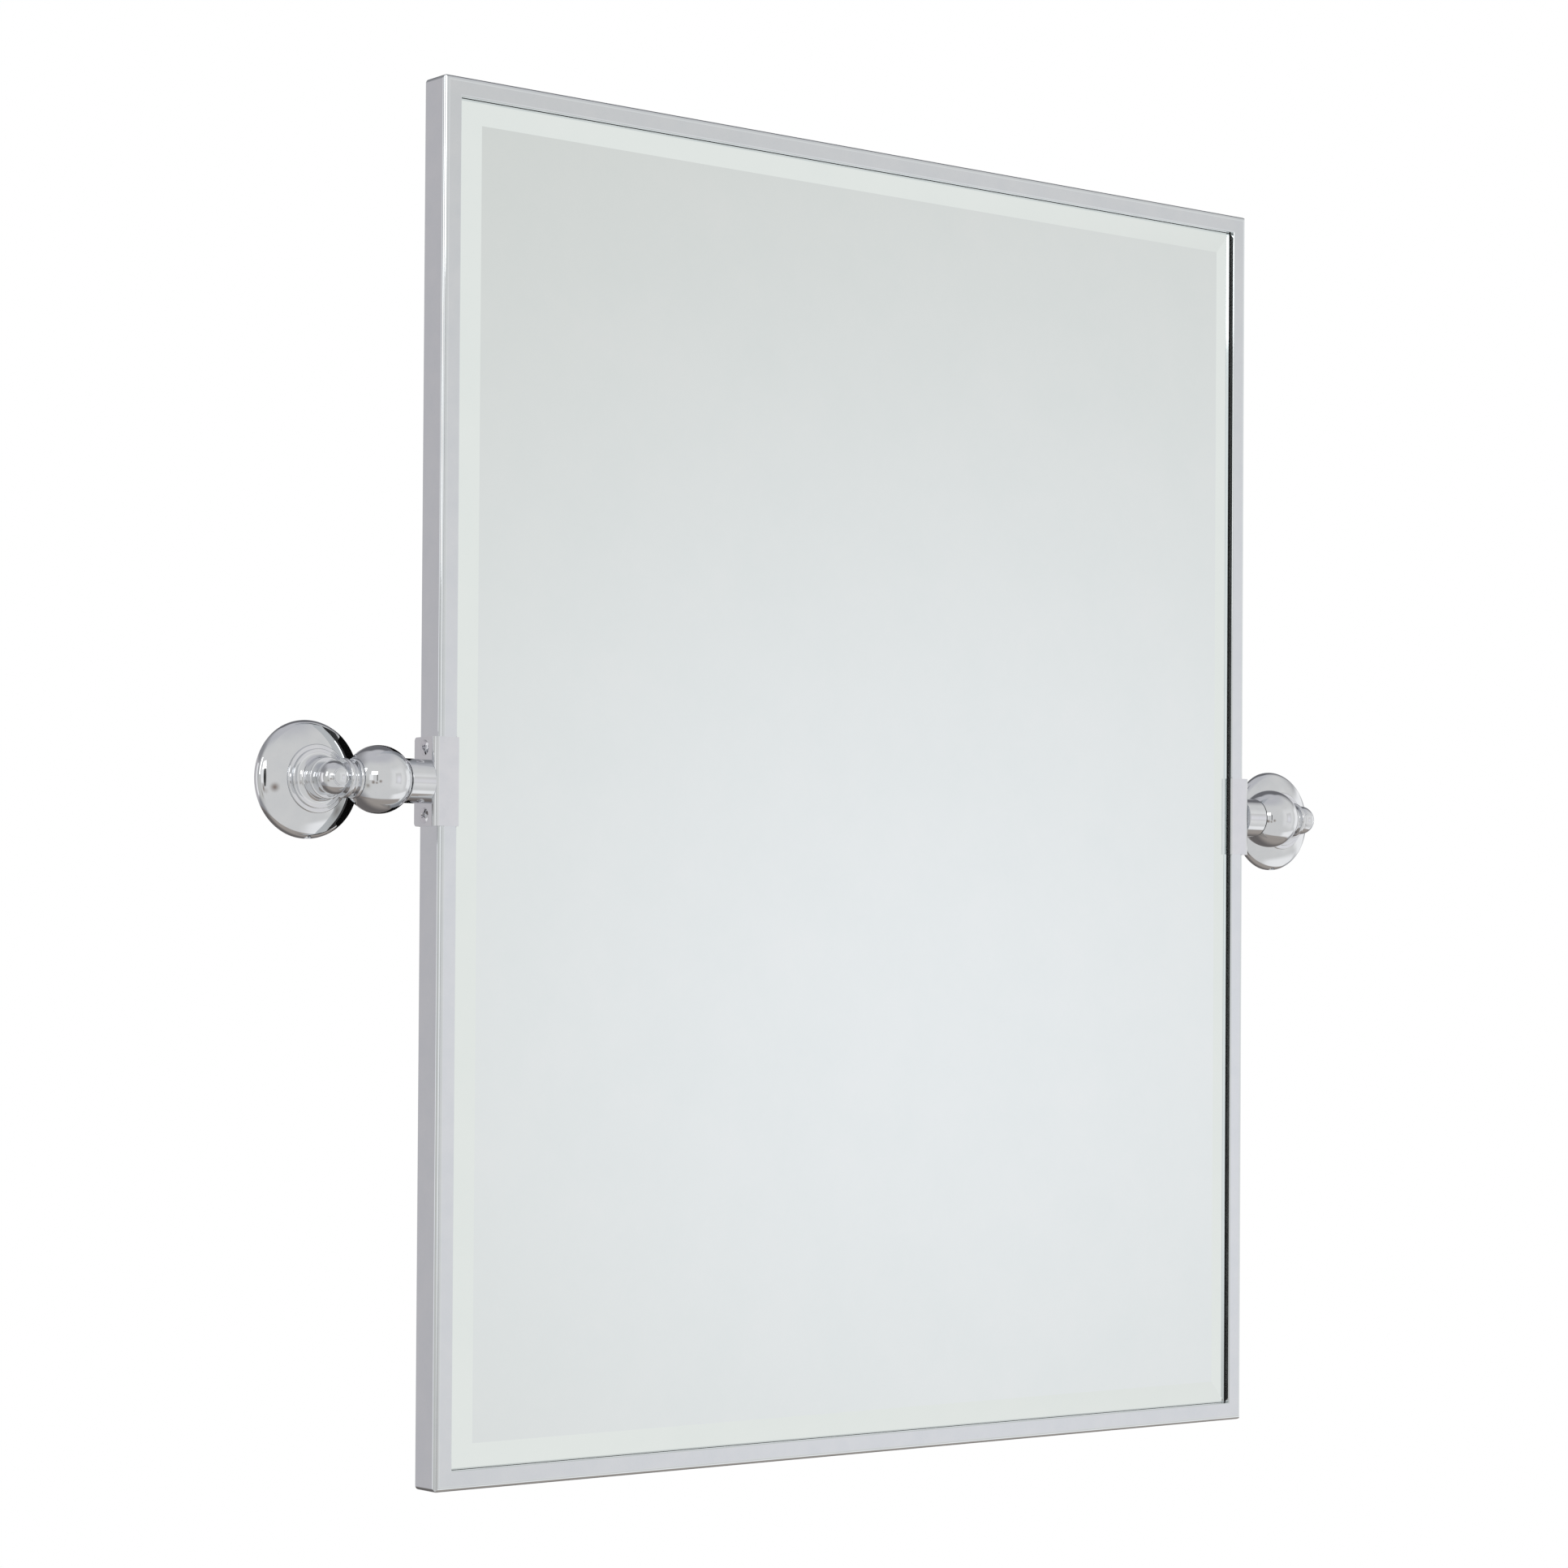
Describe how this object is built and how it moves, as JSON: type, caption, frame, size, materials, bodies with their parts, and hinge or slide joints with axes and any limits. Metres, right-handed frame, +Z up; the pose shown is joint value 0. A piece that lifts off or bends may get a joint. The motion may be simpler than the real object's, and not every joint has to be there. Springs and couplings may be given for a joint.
{
  "type": "pivot wall mirror",
  "caption": "Rectangular bevelled wall mirror in a slim polished metal frame that tilts between two ball-ended wall posts.",
  "frame": {"origin": "centre of the rectangle of the four wall screw holes, on the wall plane, level with the pivots", "axes": "+X to the right as seen from the room, along the tilt axis; +Y into the wall; +Z up; the mirror faces -Y"},
  "size_m": [0.7954, 0.0463, 0.762],
  "materials": {
    "frame_chrome": "polished",
    "hardware_chrome": "polished",
    "screw_chrome": "polished",
    "bare_steel": "zinc plated, satin",
    "mirror_glass": "silvered, bevelled",
    "glazing_tape": "matt",
    "foam_sheet": "matt",
    "backing_board": "matt black",
    "nylon": "satin",
    "black_nylon": "satin"
  },
  "bodies": {
    "wall_mounts": {"left_wall_plate": "bare_steel", "right_wall_plate": "bare_steel", "left_flange": "hardware_chrome", "right_flange": "hardware_chrome", "set_screws": "bare_steel", "left_post": "hardware_chrome", "right_post": "hardware_chrome", "post_screws": "bare_steel", "left_arm": "hardware_chrome", "right_arm": "hardware_chrome", "left_ball": "hardware_chrome", "right_ball": "hardware_chrome", "left_pivot_pin": "bare_steel", "right_pivot_pin": "bare_steel", "left_friction_washer": "black_nylon", "right_friction_washer": "black_nylon"},
    "mirror": {"frame_top_rail": "frame_chrome", "frame_bottom_rail": "frame_chrome", "frame_left_rail": "frame_chrome", "frame_right_rail": "frame_chrome", "mirror_glass": "mirror_glass", "glazing_tape": "glazing_tape", "foam_sheet": "foam_sheet", "backing_board": "backing_board", "retainer_tabs": "bare_steel", "left_clip": "hardware_chrome", "right_clip": "hardware_chrome", "clip_screws": "screw_chrome", "left_nut_plate": "bare_steel", "right_nut_plate": "bare_steel", "left_pivot_bush": "nylon", "right_pivot_bush": "nylon", "left_spring_washer": "bare_steel", "right_spring_washer": "bare_steel"}
  },
  "joints": [
    {"name": "tilt", "type": "hinge", "parent": "wall_mounts", "child": "mirror", "pos_m": [0, -0.028, 0], "axis": [1, 0, 0], "range_deg": [-2.7, 2.7]}
  ]
}
